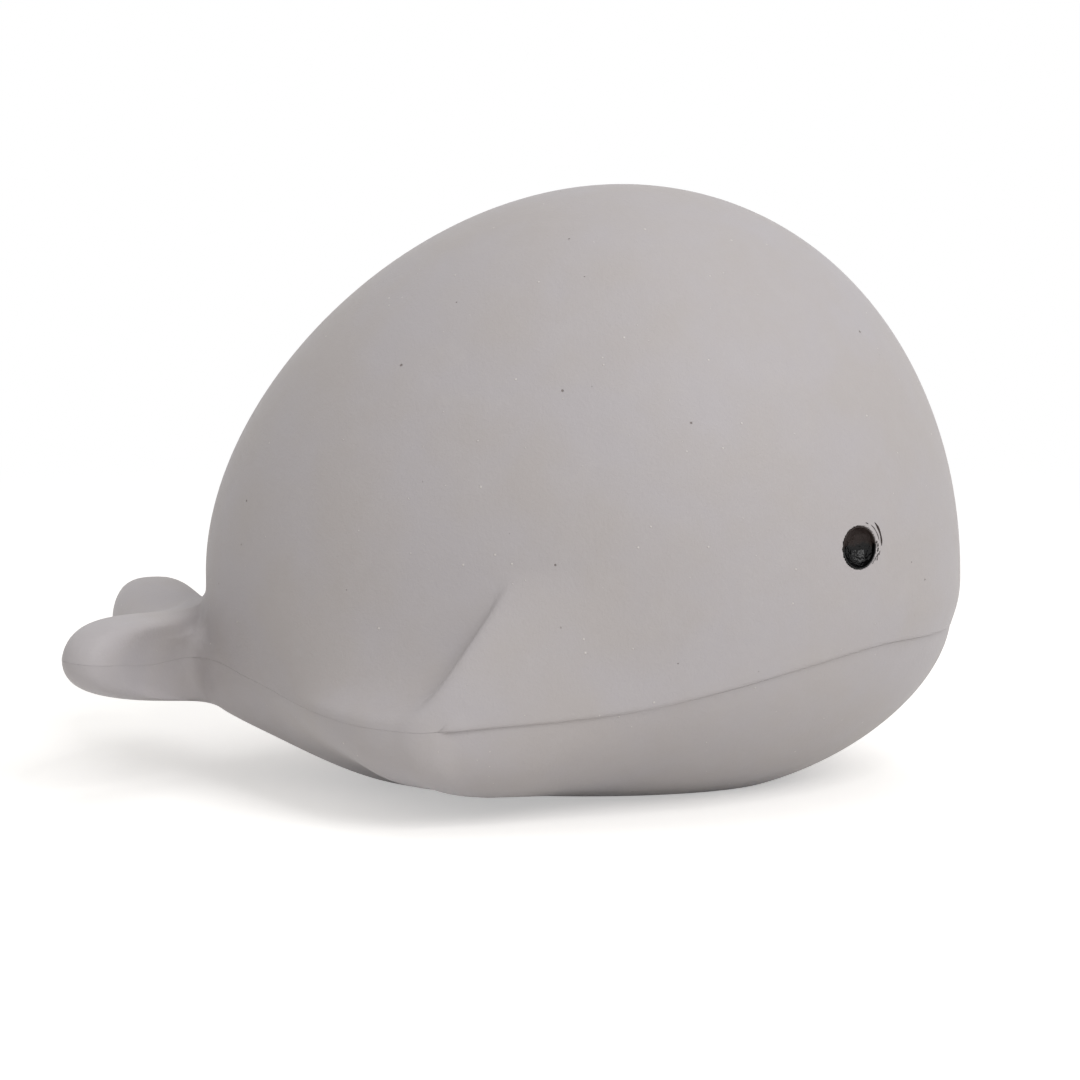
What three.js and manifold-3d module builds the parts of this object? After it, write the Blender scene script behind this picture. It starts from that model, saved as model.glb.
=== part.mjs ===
// Rattle bath toy in the shape of a small whale.
// Two natural-rubber half shells are bonded along the parting line that runs round the mouth, the
// flippers and the tail flukes. A plug closes the vent in the flat base, black paint lines two eye
// dimples, and a loose two-part plastic capsule with steel pellets rattles on the cavity floor.
// Millimetres, +Z up, +X towards the snout. The origin lies on the floor, under the middle of the length.

import * as THREE from 'three';
import { mergeVertices } from 'three/addons/utils/BufferGeometryUtils.js';
import Module from 'manifold-3d';

const wasm = await Module();
wasm.setup();
const { lerp, clamp, degToRad } = THREE.MathUtils;

// Body sizes. Reaches are measured from the upright axis through the crown of the back.
const bodyHeight = 79.4;
const crownForward = 1.5;
const noseReach = 46.7;
const rearReach = 54.1;
const bodyHalfWidth = 38;
const waistHeight = 27.5;
const waistRise = 4;
const frontCrownFullness = 0.6;
const frontWaistFullness = 0.55;
const rearCrownFullness = 0.51;
const rearWaistFullness = 0.46;
const wall = 3.2;

// Parting line: heights above the floor, the set-back of its lip and the step of the lower jaw under it.
const mouthHeight = 21.2;
const cheekHeight = 21.7;
const flankHeight = 15;
const lipInset = 1.2;
const jawStep = 0.4;
const seamGap = 0.3;
const lapHeight = 2.5;

// Flat base, an ellipse on the floor.
const baseHalfLength = 27;
const baseHalfWidth = 14.5;
const baseCentre = -5;

// Flippers: how far they stand out of the hull, how far they sweep back and the height of their edge.
const flipperReach = 8.5;
const flipperSweep = degToRad(20);
const flipperEdgeHeight = 13;

// Tail: lengths behind the hull of its neck, fluke tips, rearmost edge and notch, then widths and heights.
const rootInset = 2.8;
const rootHalfWidth = 12.5;
const neckLength = 1.4;
const neckHalfWidth = 10.5;
const flukeTipLength = 12.6;
const tailLength = 16.7;
const notchLength = 10.9;
const flukeHalfSpan = 27;
const flukeEdgeHeight = 17.2;
const flukeSwellHeight = 26.4;
const tailTopHeight = 23.1;
const tailFillet = 3;
const sternHeight = 10.2;
const sternInset = 1.4;

// Eye dimples: mouth radius, the rubber left under them, where their mouths lie, and the paint inside.
const eyeRadius = 2.9;
const eyeFloor = 1.1;
const eyeTurn = degToRad(44.5);
const eyeHeight = 36.6;
const paintThickness = 0.5;
const paintGap = 0.1;
const paintRimDepth = 0.3;

// Base plug, a stepped disc that closes the vent.
const plugHeadRadius = 8;
const plugHeadThickness = 1.4;
const plugShoulderWidth = 2.5;
const plugRecess = 0.4;
const plugClearance = 0.15;

// Rattle: a capsule of two half shells with a lap joint, and loose pellets.
const capsuleRadius = 16;
const capsuleWall = 1.5;
const capsuleLap = 1.6;
const capsuleGap = 0.15;
const pelletRadius = 2.5;
const pelletGap = 0.3;
const pelletsInRing = 6;
const restGap = 0.3;

// Mesh fineness
const cutsPerSpan = 2;
const domeRows = 9;
const webRows = 8;
const bellyRows = 9;
const innerRows = 5;

const rubber = new THREE.MeshStandardMaterial({ color: 0xb5b0af, roughness: 0.75, metalness: 0 });
const plugRubber = new THREE.MeshStandardMaterial({ color: 0xa8a3a1, roughness: 0.8, metalness: 0 });
const blackPaint = new THREE.MeshStandardMaterial({ color: 0x18171a, roughness: 0.3, metalness: 0 });
const whitePlastic = new THREE.MeshStandardMaterial({ color: 0xe9e7e1, roughness: 0.45, metalness: 0 });
const steel = new THREE.MeshStandardMaterial({ color: 0xb9bcc0, roughness: 0.25, metalness: 1 });

// Point of the hull's plan at a turn round the crown axis, drawn in by an inset.
function hullPlan(turn, inset = 0) {
  const reach = Math.cos(turn) > 0 ? noseReach : rearReach;
  return new THREE.Vector3((reach - inset) * Math.cos(turn), (bodyHalfWidth - inset) * Math.sin(turn), 0);
}

// Point of the base ellipse at the same turn.
function basePlan(turn, inset = 0) {
  const x = baseCentre + (baseHalfLength - inset) * Math.cos(turn);
  return new THREE.Vector3(x, (baseHalfWidth - inset) * Math.sin(turn), 0);
}

const atHeight = (point, z) => new THREE.Vector3(point.x, point.y, z);
const between = (a, b, share) => new THREE.Vector3().lerpVectors(a, b, share);
const curve = (a, b, c, d) => new THREE.CubicBezierCurve3(a, b, c, d);

// A station of the half outline on the hull itself, with a share of the flipper added to it. The parting
// edge may lie at another turn than the dome above it, which slants the ridge of the flipper.
function hullStation(degrees, edgeDegrees, z, weights = {}) {
  const edge = hullPlan(degToRad(edgeDegrees), lipInset);
  const { fin = 0, hang = 0, tent = 0, mouth = 0, tail = 0, crown = 0, lobe = 0 } = weights;
  const x = edge.x - fin * flipperReach * Math.sin(flipperSweep);
  const y = edge.y + fin * flipperReach * Math.cos(flipperSweep);
  return { turn: degToRad(degrees), x, y, z, fin, hang, tent, mouth, tail, crown, lobe };
}

// A station on the outline of the tail. The crown is the share of the tail's height where it leaves the
// hull, and the lobe is the share by which the fluke swells towards its edge.
function tailStation(degrees, reach, y, crown, lobe, tail = 1) {
  const plain = { fin: 0, hang: 0, tent: 0, mouth: 0 };
  return { turn: degToRad(degrees), x: -reach, y, z: flukeEdgeHeight, tail, crown, lobe, ...plain };
}

// Half outline of the parting line, from the snout round the flipper to the notch of the tail.
const cheek = (share) => lerp(mouthHeight, cheekHeight, share);
const flank = (share) => lerp(cheekHeight, flankHeight, share);
const paddle = (share) => lerp(flankHeight, flipperEdgeHeight, share);
const stern = (share) => lerp(flipperEdgeHeight, flukeEdgeHeight, share);
const behind = (length) => rearReach + length;
const lead = (share) => behind(lerp(neckLength, flukeTipLength, share));
const flare = (share) => lerp(neckHalfWidth, flukeHalfSpan, share);
const rearEdge = (share) => behind(lerp(flukeTipLength, tailLength, share));
const notch = (share) => behind(lerp(notchLength, tailLength, share));
const stations = [
  hullStation(0, 0, cheek(0), { mouth: 1 }),
  hullStation(20, 20, cheek(0.7), { mouth: 1 }),
  hullStation(38, 38, cheek(1), { mouth: 1 }),
  hullStation(54, 54, flank(0.25), { mouth: 1 }),
  hullStation(68, 68, flank(0.58), { mouth: 1 }),
  hullStation(79, 80, flank(0.86), { fin: 0.05, hang: 0.1, tent: 0.4, mouth: 1 }),
  hullStation(87, 91, paddle(0.1), { fin: 0.25, hang: 0.6, tent: 1, mouth: 1 }),
  hullStation(94, 101, paddle(0.6), { fin: 0.65, hang: 1, tent: 1, mouth: 1 }),
  hullStation(100, 110, paddle(1), { fin: 1, hang: 0.95, tent: 1, mouth: 0.7 }),
  hullStation(104, 115, stern(0), { fin: 1, hang: 0.8, tent: 0.4 }),
  hullStation(112, 121, stern(0.03), { fin: 0.9, hang: 0.45, tent: 0.08 }),
  hullStation(122, 128, stern(0.12), { fin: 0.65, hang: 0.1 }),
  hullStation(133, 136, stern(0.25), { fin: 0.3 }),
  hullStation(145, 145, stern(0.45)),
  hullStation(153, 153, stern(0.68), { tail: 0.2, crown: 0.05 }),
  tailStation(160, behind(-rootInset), rootHalfWidth, 0.1, 0.05, 0.7),
  tailStation(165.5, lead(0), neckHalfWidth, 0.4, 0.2),
  tailStation(170, lead(0.35), flare(0.34), 0.65, 0.5),
  tailStation(173.5, lead(0.68), flare(0.82), 0.82, 0.85),
  tailStation(175.5, lead(1), flare(1), 0.92, 1),
  tailStation(177, rearEdge(0.95), flukeHalfSpan * 0.75, 1, 0.95),
  tailStation(178.3, notch(0.9), flukeHalfSpan * 0.4, 1, 0.75),
  tailStation(179.3, notch(0.35), flukeHalfSpan * 0.14, 1, 0.6),
  tailStation(180, notch(0), 0, 1, 0.55),
];
const lastStation = stations.length - 1;

// One value of the outline at a place along the stations, smooth across the mid-plane at both ends.
function along(name, place) {
  const odd = name === 'y' || name === 'turn';
  const start = Math.min(Math.floor(place), lastStation - 1);
  const t = place - start;
  const value = (index) => {
    if (index < 0) return odd ? -stations[-index][name] : stations[-index][name];
    if (index <= lastStation) return stations[index][name];
    const mirrored = stations[2 * lastStation - index][name];
    return odd ? 2 * stations[lastStation][name] - mirrored : mirrored;
  };
  const [a, b, c, d] = [value(start - 1), value(start), value(start + 1), value(start + 2)];
  return b + 0.5 * t * (c - a + t * (2 * a - 5 * b + 4 * c - d + t * (3 * (b - c) + d - a)));
}

// Everything the surfaces need to know at a place along the outline.
function outlineAt(place) {
  const weight = (name) => clamp(along(name, place), 0, 1);
  const edge = new THREE.Vector3(along('x', place), along('y', place), along('z', place));
  const names = ['fin', 'hang', 'tent', 'mouth', 'tail', 'crown', 'lobe'];
  const weights = Object.fromEntries(names.map((name) => [name, weight(name)]));
  return { turn: along('turn', place), edge, ...weights };
}

// Points at even steps of a function of 0 to 1, the first left out.
function steps(count, pointAt) {
  return Array.from({ length: count }, (_, i) => pointAt((i + 1) / count));
}

// Height of the widest level of the hull at a turn.
const waistAt = (turn) => waistHeight + waistRise * Math.sin(turn) ** 2;

// Points down the dome from the crown to the waist, the crown itself left out.
function domePoints(turn, inset, rows) {
  const frontShare = 0.5 + 0.5 * Math.cos(turn);
  const crown = new THREE.Vector3(crownForward, 0, bodyHeight - inset);
  const waist = atHeight(hullPlan(turn, inset), waistAt(turn));
  const crownFullness = lerp(rearCrownFullness, frontCrownFullness, frontShare);
  const waistFullness = lerp(rearWaistFullness, frontWaistFullness, frontShare);
  const overCrown = atHeight(between(crown, waist, crownFullness), crown.z);
  const overWaist = atHeight(waist, lerp(waist.z, crown.z, waistFullness));
  const line = curve(crown, overCrown, overWaist, waist);
  return steps(rows, (t) => line.getPoint(t));
}

// Points of the web from the waist of the dome to the parting edge: flank, flipper or top of the tail.
function webPoints({ turn, edge, fin, tent, tail, crown, lobe }) {
  const waist = atHeight(hullPlan(turn), waistAt(turn));
  const drop = (share) => lerp(waist.z, edge.z, share);
  const hugging = curve(
    waist,
    atHeight(waist, drop(lerp(0.5, 0.75, fin))),
    atHeight(between(waist, edge, lerp(1, 0.2, fin)), drop(lerp(0.75, 0.92, fin))),
    edge,
  );
  const tented = curve(
    waist,
    atHeight(waist, drop(0.18)),
    atHeight(between(waist, edge, 0.74), drop(0.64)),
    edge,
  );
  const reach = Math.max(edge.clone().setZ(0).distanceTo(atHeight(waist, 0)), 2 * tailFillet);
  const footHeight = lerp(edge.z, tailTopHeight, crown);
  const foot = atHeight(between(waist, edge, tailFillet / reach), footHeight);
  const backWall = curve(
    waist,
    atHeight(waist, lerp(waist.z, footHeight, 0.5)),
    atHeight(waist, footHeight),
    foot,
  );
  const flukeTop = curve(
    foot,
    atHeight(between(foot, edge, 0.35), footHeight),
    atHeight(between(foot, edge, 0.97), lerp(edge.z, flukeSwellHeight, lobe)),
    edge,
  );
  const wallShare = 0.35;
  return steps(webRows, (t) => {
    const flankPoint = between(hugging.getPoint(t), tented.getPoint(t), tent);
    const onWall = t < wallShare;
    const tailPoint = onWall
      ? backWall.getPoint(t / wallShare)
      : flukeTop.getPoint((t - wallShare) / (1 - wallShare));
    return between(flankPoint, tailPoint, tail);
  });
}

// Points down the hull from a top edge past the stern to a bottom edge.
function bellyPoints({ top, sternPoint, bottom, fin, hang, tail, rows }) {
  const fall = (share) => lerp(top.z, bottom.z, share);
  const belly = curve(
    top,
    atHeight(between(top, bottom, lerp(0.08, 0, fin)), fall(lerp(lerp(0.36, 0.2, fin), 0.75, hang))),
    atHeight(between(top, bottom, lerp(0.4, 0.36, fin)), fall(lerp(lerp(0.78, 0.5, fin), 0.75, hang))),
    bottom,
  );
  const underTail = curve(
    top,
    atHeight(top, lerp(top.z, sternPoint.z, 0.5)),
    atHeight(between(top, sternPoint, 0.45), lerp(top.z, sternPoint.z, 0.72)),
    sternPoint,
  );
  const tailShare = 0.6;
  return steps(rows, (t) => {
    const tailPoint = t < tailShare
      ? underTail.getPoint(t / tailShare)
      : between(sternPoint, bottom, (t - tailShare) / (1 - tailShare));
    return between(belly.getPoint(t), tailPoint, tail);
  });
}

// Middle of the joint face between an edge and the lap; in the tail it lies straight behind the lap.
function jointMiddle(edge, lapEdge, tail) {
  const behindLap = new THREE.Vector3(Math.max(edge.x, 1.5 - behind(notchLength)), lapEdge.y, edge.z);
  return between(between(edge, lapEdge, 0.5), behindLap, tail);
}

// The upper half shell's section at a place: down the outside, across the lap and up the inside.
function upperSection(place) {
  const outline = outlineAt(place);
  const { turn, edge, tail } = outline;
  const lift = seamGap / 2;
  const innerEdge = hullPlan(turn, lipInset + wall);
  const lapEdge = hullPlan(turn, lipInset + wall / 2 - lift);
  return [
    new THREE.Vector3(crownForward, 0, bodyHeight),
    ...domePoints(turn, 0, domeRows),
    ...webPoints({ ...outline, edge: atHeight(edge, edge.z + lift) }),
    atHeight(jointMiddle(edge, lapEdge, tail), edge.z + lift),
    atHeight(lapEdge, edge.z + lift),
    atHeight(lapEdge, edge.z + lift + lapHeight),
    atHeight(innerEdge, edge.z + lift + lapHeight),
    ...domePoints(turn, wall, innerRows).reverse(),
    new THREE.Vector3(crownForward, 0, bodyHeight - wall),
  ];
}

// The lower half shell's section: out over the cavity floor, up to the lap and down the outside.
function lowerSection(place) {
  const { turn, edge, fin, hang, tail, mouth } = outlineAt(place);
  const lift = seamGap / 2;
  const lip = atHeight(edge, edge.z - lift);
  lip.sub(atHeight(hullPlan(turn).setLength(jawStep * mouth), 0));
  const innerEdge = atHeight(hullPlan(turn, lipInset + wall), edge.z - lift + lapHeight);
  const lapEdge = hullPlan(turn, lipInset + wall / 2 + lift);
  const floorEdge = atHeight(basePlan(turn, wall / 3), wall);
  const inside = bellyPoints({
    top: innerEdge,
    sternPoint: atHeight(hullPlan(turn, sternInset + wall), sternHeight + wall),
    bottom: floorEdge,
    fin: 0,
    hang: 0,
    tail,
    rows: innerRows,
  });
  const outside = bellyPoints({
    top: lip,
    sternPoint: atHeight(hullPlan(turn, sternInset), sternHeight),
    bottom: basePlan(turn),
    fin,
    hang,
    tail,
    rows: bellyRows,
  });
  return [
    new THREE.Vector3(baseCentre, 0, wall),
    ...inside.reverse(),
    innerEdge,
    atHeight(lapEdge, innerEdge.z),
    atHeight(lapEdge, lip.z),
    atHeight(jointMiddle(lip, lapEdge, tail), lip.z),
    lip,
    ...outside,
    new THREE.Vector3(baseCentre, 0, 0),
  ];
}

// Closed skin through sections that all start at one pole and end at another, mirrored to both flanks.
function skin(sectionAt) {
  const halfCount = lastStation * cutsPerSpan;
  const half = Array.from({ length: halfCount + 1 }, (_, i) => sectionAt(i / cutsPerSpan));
  const mirrored = half.slice(1, -1).reverse().map((section) => (
    section.map((point) => new THREE.Vector3(point.x, -point.y, point.z))
  ));
  const sections = [...half, ...mirrored];
  const count = sections.length;
  const rows = half[0].length - 2;
  const positions = [...half[0][0].toArray()];
  for (let row = 1; row <= rows; row += 1) {
    sections.forEach((section) => positions.push(...section[row].toArray()));
  }
  positions.push(...half[0][rows + 1].toArray());
  const last = 1 + rows * count;
  const corner = (row, i) => 1 + row * count + (i % count);
  const index = [];
  for (let i = 0; i < count; i += 1) {
    index.push(0, corner(0, i), corner(0, i + 1));
    for (let row = 0; row < rows - 1; row += 1) {
      const [a, b] = [corner(row, i), corner(row + 1, i)];
      const [c, d] = [corner(row + 1, i + 1), corner(row, i + 1)];
      index.push(a, b, c, a, c, d);
    }
    index.push(last, corner(rows - 1, i + 1), corner(rows - 1, i));
  }
  const geometry = new THREE.BufferGeometry();
  geometry.setAttribute('position', new THREE.Float32BufferAttribute(positions, 3));
  return geometry.setIndex(index);
}

// Boolean helpers
function solidOf(geometry) {
  const bare = geometry.clone();
  bare.deleteAttribute('normal');
  bare.deleteAttribute('uv');
  const merged = mergeVertices(bare);
  return new wasm.Manifold(new wasm.Mesh({
    numProp: 3,
    vertProperties: new Float32Array(merged.attributes.position.array),
    triVerts: new Uint32Array(merged.index.array),
  }));
}

function geometryOf(solid) {
  const mesh = solid.getMesh();
  const geometry = new THREE.BufferGeometry();
  geometry.setAttribute('position', new THREE.Float32BufferAttribute(mesh.vertProperties, 3));
  return geometry.setIndex(new THREE.Uint32BufferAttribute(mesh.triVerts, 1));
}

function cut(geometry, ...tools) {
  return geometryOf(tools.reduce((solid, tool) => solid.subtract(solidOf(tool)), solidOf(geometry)));
}

// Solid of revolution about +Z from radius and height pairs, listed from the bottom of the axis to its top.
function turned(pairs, sides) {
  const profile = pairs.map(([radius, height]) => new THREE.Vector2(radius, height));
  return new THREE.LatheGeometry(profile, sides).rotateX(Math.PI / 2);
}

// Round-bottomed cup of an eye with its mouth at the origin, as radius and height pairs from the axis out.
function eyeCup(radius, depth) {
  const arcs = 4;
  return Array.from({ length: arcs + 1 }, (_, i) => {
    const angle = (i / arcs) * Math.PI / 2;
    return [radius * Math.sin(angle), -depth * Math.cos(angle)];
  });
}

// Where an eye sits: a frame whose +Z is the outward normal of the dome there.
function eyeFrame(side) {
  const rows = 40;
  const column = domePoints(eyeTurn, 0, rows);
  const row = column.findIndex((point) => point.z < eyeHeight);
  const place = column[row];
  const ahead = domePoints(eyeTurn - 0.01, 0, rows)[row];
  const normal = column[row - 1].clone().sub(place).cross(ahead.sub(place)).normalize();
  const mirror = new THREE.Vector3(1, side, 1);
  const up = new THREE.Vector3(0, 0, 1);
  const facing = new THREE.Quaternion().setFromUnitVectors(up, normal.multiply(mirror));
  return new THREE.Matrix4().compose(place.multiply(mirror), facing, new THREE.Vector3(1, 1, 1));
}

const eyeDepth = wall - eyeFloor;
const eyeSides = 18;
const eyeStandOut = 1.5;

function eyeTool(side) {
  const cup = [...eyeCup(eyeRadius, eyeDepth), [eyeRadius, eyeStandOut], [0, eyeStandOut]];
  return turned(cup, eyeSides).applyMatrix4(eyeFrame(side));
}

function eyePaint() {
  const outer = eyeCup(eyeRadius - paintGap, eyeDepth - paintGap);
  const inner = eyeCup(eyeRadius - paintGap - paintThickness, eyeDepth - paintGap - paintThickness);
  const belowRim = ([radius, height]) => [radius, Math.min(height, -paintRimDepth)];
  return turned([...outer.map(belowRim), ...inner.reverse().map(belowRim)], eyeSides);
}

function named(name, geometry, material) {
  const made = new THREE.Mesh(geometry, material);
  made.name = name;
  return made;
}

// Base plug: a head in a counterbore of the base and a stem through the vent.
const plugSides = 28;
const plugTop = wall;
const plugStemRadius = plugHeadRadius - plugShoulderWidth;
const plugShoulder = plugRecess + plugHeadThickness;

function plugShape(grow) {
  return [
    [0, plugRecess],
    [plugHeadRadius + grow, plugRecess],
    [plugHeadRadius + grow, plugShoulder + grow],
    [plugStemRadius + grow, plugShoulder + grow],
    [plugStemRadius + grow, plugTop],
    [0, plugTop],
  ];
}

function ventTool() {
  const through = 1;
  const pairs = plugShape(plugClearance).map(([radius, height]) => {
    if (height === plugRecess) return [radius, -through];
    return [radius, height === plugTop ? plugTop + through : height];
  });
  return turned(pairs, plugSides);
}

// Capsule halves, centred on the origin. The lower half's spigot rises inside the upper half's rim.
const capsuleSides = 28;
const capsuleArcs = 6;
const capsuleInner = capsuleRadius - capsuleWall;
const lapMiddle = capsuleRadius - capsuleWall / 2;
const pelletSpacing = 2 * pelletRadius + pelletGap;

// Points of a circle about the origin from a height up to its top on the axis, as radius and height pairs.
function arcAbove(radius, height) {
  const widest = Math.acos(height / radius);
  return Array.from({ length: capsuleArcs + 1 }, (_, i) => {
    const angle = widest * (1 - i / capsuleArcs);
    return [radius * Math.sin(angle), radius * Math.cos(angle)];
  });
}

const flipped = (pairs) => pairs.map(([radius, height]) => [radius, -height]);

function capsuleUpper() {
  const inside = arcAbove(capsuleInner, capsuleLap + capsuleGap);
  const rim = [
    [lapMiddle + capsuleGap / 2, capsuleLap + capsuleGap],
    [lapMiddle + capsuleGap / 2, capsuleGap / 2],
  ];
  return turned([...inside.reverse(), ...rim, ...arcAbove(capsuleRadius, capsuleGap / 2)], capsuleSides);
}

function capsuleLower() {
  const outside = flipped(arcAbove(capsuleRadius, capsuleGap / 2));
  const spigot = [
    [lapMiddle - capsuleGap / 2, -capsuleGap / 2],
    [lapMiddle - capsuleGap / 2, capsuleLap],
    [capsuleInner, capsuleLap],
  ];
  const inside = flipped(arcAbove(capsuleInner, 0));
  return turned([...outside.reverse(), ...spigot, ...inside], capsuleSides);
}

// Places of the pellets at rest in the bowl of the capsule, one in the middle and a ring round it.
function pelletPlaces() {
  const bowl = capsuleInner - pelletRadius - pelletGap;
  const ringDepth = Math.sqrt(bowl ** 2 - pelletSpacing ** 2);
  const ring = Array.from({ length: pelletsInRing }, (_, i) => {
    const turn = (i / pelletsInRing) * 2 * Math.PI;
    return new THREE.Vector3(pelletSpacing * Math.cos(turn), pelletSpacing * Math.sin(turn), -ringDepth);
  });
  return [new THREE.Vector3(0, 0, -bowl), ...ring];
}

const toy = new THREE.Group();
toy.position.x = (behind(tailLength) - noseReach) / 2;

const vent = ventTool().translate(baseCentre, 0, 0);
toy.add(named('upper_shell', cut(skin(upperSection), eyeTool(1), eyeTool(-1)), rubber));
toy.add(named('lower_shell', cut(skin(lowerSection), vent), rubber));
toy.add(named('base_plug', turned(plugShape(0), plugSides).translate(baseCentre, 0, 0), plugRubber));
toy.add(named('left_eye_paint', eyePaint().applyMatrix4(eyeFrame(1)), blackPaint));
toy.add(named('right_eye_paint', eyePaint().applyMatrix4(eyeFrame(-1)), blackPaint));

const rattle = new THREE.Group();
rattle.position.set(baseCentre, 0, wall + restGap + capsuleRadius);
rattle.add(named('capsule_upper', capsuleUpper(), whitePlastic));
rattle.add(named('capsule_lower', capsuleLower(), whitePlastic));
pelletPlaces().forEach((place, i) => {
  const pellet = named(`pellet_${i + 1}`, new THREE.SphereGeometry(pelletRadius, 12, 8), steel);
  pellet.position.copy(place);
  rattle.add(pellet);
});
toy.add(rattle);

const model = new THREE.Group();
model.add(toy);
export default model;
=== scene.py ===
import math

import bmesh
import bpy
from mathutils import Matrix, Vector
from mathutils.bvhtree import BVHTree


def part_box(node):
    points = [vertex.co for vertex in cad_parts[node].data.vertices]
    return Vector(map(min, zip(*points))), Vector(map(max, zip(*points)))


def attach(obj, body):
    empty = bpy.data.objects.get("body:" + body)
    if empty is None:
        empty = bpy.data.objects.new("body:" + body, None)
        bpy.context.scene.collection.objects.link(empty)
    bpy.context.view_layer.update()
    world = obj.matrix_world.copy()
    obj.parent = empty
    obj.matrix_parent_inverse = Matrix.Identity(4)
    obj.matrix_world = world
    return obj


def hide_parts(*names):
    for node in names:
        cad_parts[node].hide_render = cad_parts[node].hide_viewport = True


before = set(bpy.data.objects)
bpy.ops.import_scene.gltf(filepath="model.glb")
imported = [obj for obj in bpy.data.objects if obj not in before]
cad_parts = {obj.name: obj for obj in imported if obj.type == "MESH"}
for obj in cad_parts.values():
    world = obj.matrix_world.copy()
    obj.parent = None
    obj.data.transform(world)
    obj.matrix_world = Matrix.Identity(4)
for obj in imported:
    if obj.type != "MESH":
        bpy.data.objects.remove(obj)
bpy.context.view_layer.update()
scene = bpy.context.scene
scene.view_settings.view_transform = "Standard"
mm = 0.001
print("frame loaded:", len(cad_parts), "nodes")


# camera of the photograph: low, a little ahead of the right flank
cameraSetup = {
    "aim": (12.05, 0, 40),       # mm, on the upright axis through the crown
    "distance": 570,             # mm
    "turn": 3,                   # degrees towards the snout
    "rise": 7.6,                 # degrees above the floor
    "lens": 142.5,               # mm on a 36 mm sensor
    "shift": (-70 / 1080, -60 / 1080),
}


def addCamera(setup):
    turn = math.radians(setup["turn"])
    rise = math.radians(setup["rise"])
    back = Vector((math.sin(turn) * math.cos(rise), -math.cos(turn) * math.cos(rise), math.sin(rise)))
    data = bpy.data.cameras.new("photoCamera")
    data.lens = setup["lens"]
    data.sensor_width = 36
    data.shift_x, data.shift_y = setup["shift"]
    data.clip_start = 0.01
    data.clip_end = 50
    camera = bpy.data.objects.new("photoCamera", data)
    camera.location = (Vector(setup["aim"]) + back * setup["distance"]) * mm
    camera.rotation_euler = (-back).to_track_quat("-Z", "Y").to_euler()
    scene.collection.objects.link(camera)
    scene.camera = camera


addCamera(cameraSetup)
print("camera placed")


# materials

def linear(hexColour):
    channels = [int(hexColour[i:i + 2], 16) / 255 for i in (1, 3, 5)]
    return [c / 12.92 if c <= 0.04045 else ((c + 0.055) / 1.055) ** 2.4 for c in channels] + [1]


def addNode(tree, kind, settings=None, inputs=None):
    node = tree.nodes.new(kind)
    for name, value in (settings or {}).items():
        setattr(node, name, value)
    for name, value in (inputs or {}).items():
        if isinstance(value, bpy.types.NodeSocket):
            tree.links.new(value, node.inputs[name])
        else:
            node.inputs[name].default_value = value
    return node


def newMaterial(name):
    material = bpy.data.materials.new(name)
    material.use_nodes = True
    material.node_tree.nodes.clear()
    return material, material.node_tree


castRubberLook = {
    "cool": "#B7B3B6",
    "warm": "#B6B1B1",
    "patch": 15,          # mm, clouds of cooler and warmer grey
    "cloudEdge": (0.38, 0.62),
    "bloom": "#BDB9BA",
    "bloomSize": 5,       # mm, faint powdery bloom of cast latex
    "dust": "#D0CCCA",
    "dustCell": 2.2,      # mm between specks of moulding powder
    "dustRadius": 0.22,
    "dustRaise": 1.2,     # against the grain
    # painted shade in the air-bubble pits: a darker grey
    "pitShade": "#857E7C",
    "pitCell": 4.2,       # mm between air-bubble pits
    "pitRadius": 0.26,
    "pitShift": 0.37,     # m, so that pits and specks don't fall together
    "pitSink": -3.0,
    "grain": 0.45,        # mm, plaster-mould grain, drawn a little coarse so that it shows
    "grainDepth": 0.09,
    "waveDepth": 0.5,     # mm, hand-finished mould
    "roughness": 0.62,
}


def specks(tree, coordinates, cell, radius, seedShift):
    moved = addNode(tree, "ShaderNodeVectorMath", {"operation": "ADD"},
                    {0: coordinates, 1: (seedShift, seedShift, seedShift)})
    cells = addNode(tree, "ShaderNodeTexVoronoi", {"feature": "F1"},
                    {"Vector": moved.outputs[0], "Scale": 1 / (cell * mm)})
    size = addNode(tree, "ShaderNodeSeparateColor", None, {0: cells.outputs["Color"]})
    reach = addNode(tree, "ShaderNodeMath", {"operation": "MULTIPLY"}, {0: size.outputs[0], 1: radius / cell})
    inside = addNode(tree, "ShaderNodeMath", {"operation": "DIVIDE"},
                     {0: cells.outputs["Distance"], 1: reach.outputs[0]})
    return addNode(tree, "ShaderNodeMapRange", {"interpolation_type": "SMOOTHSTEP"},
                   {"Value": inside.outputs[0], "From Min": 1.0, "From Max": 0.55}).outputs["Result"]
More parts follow.
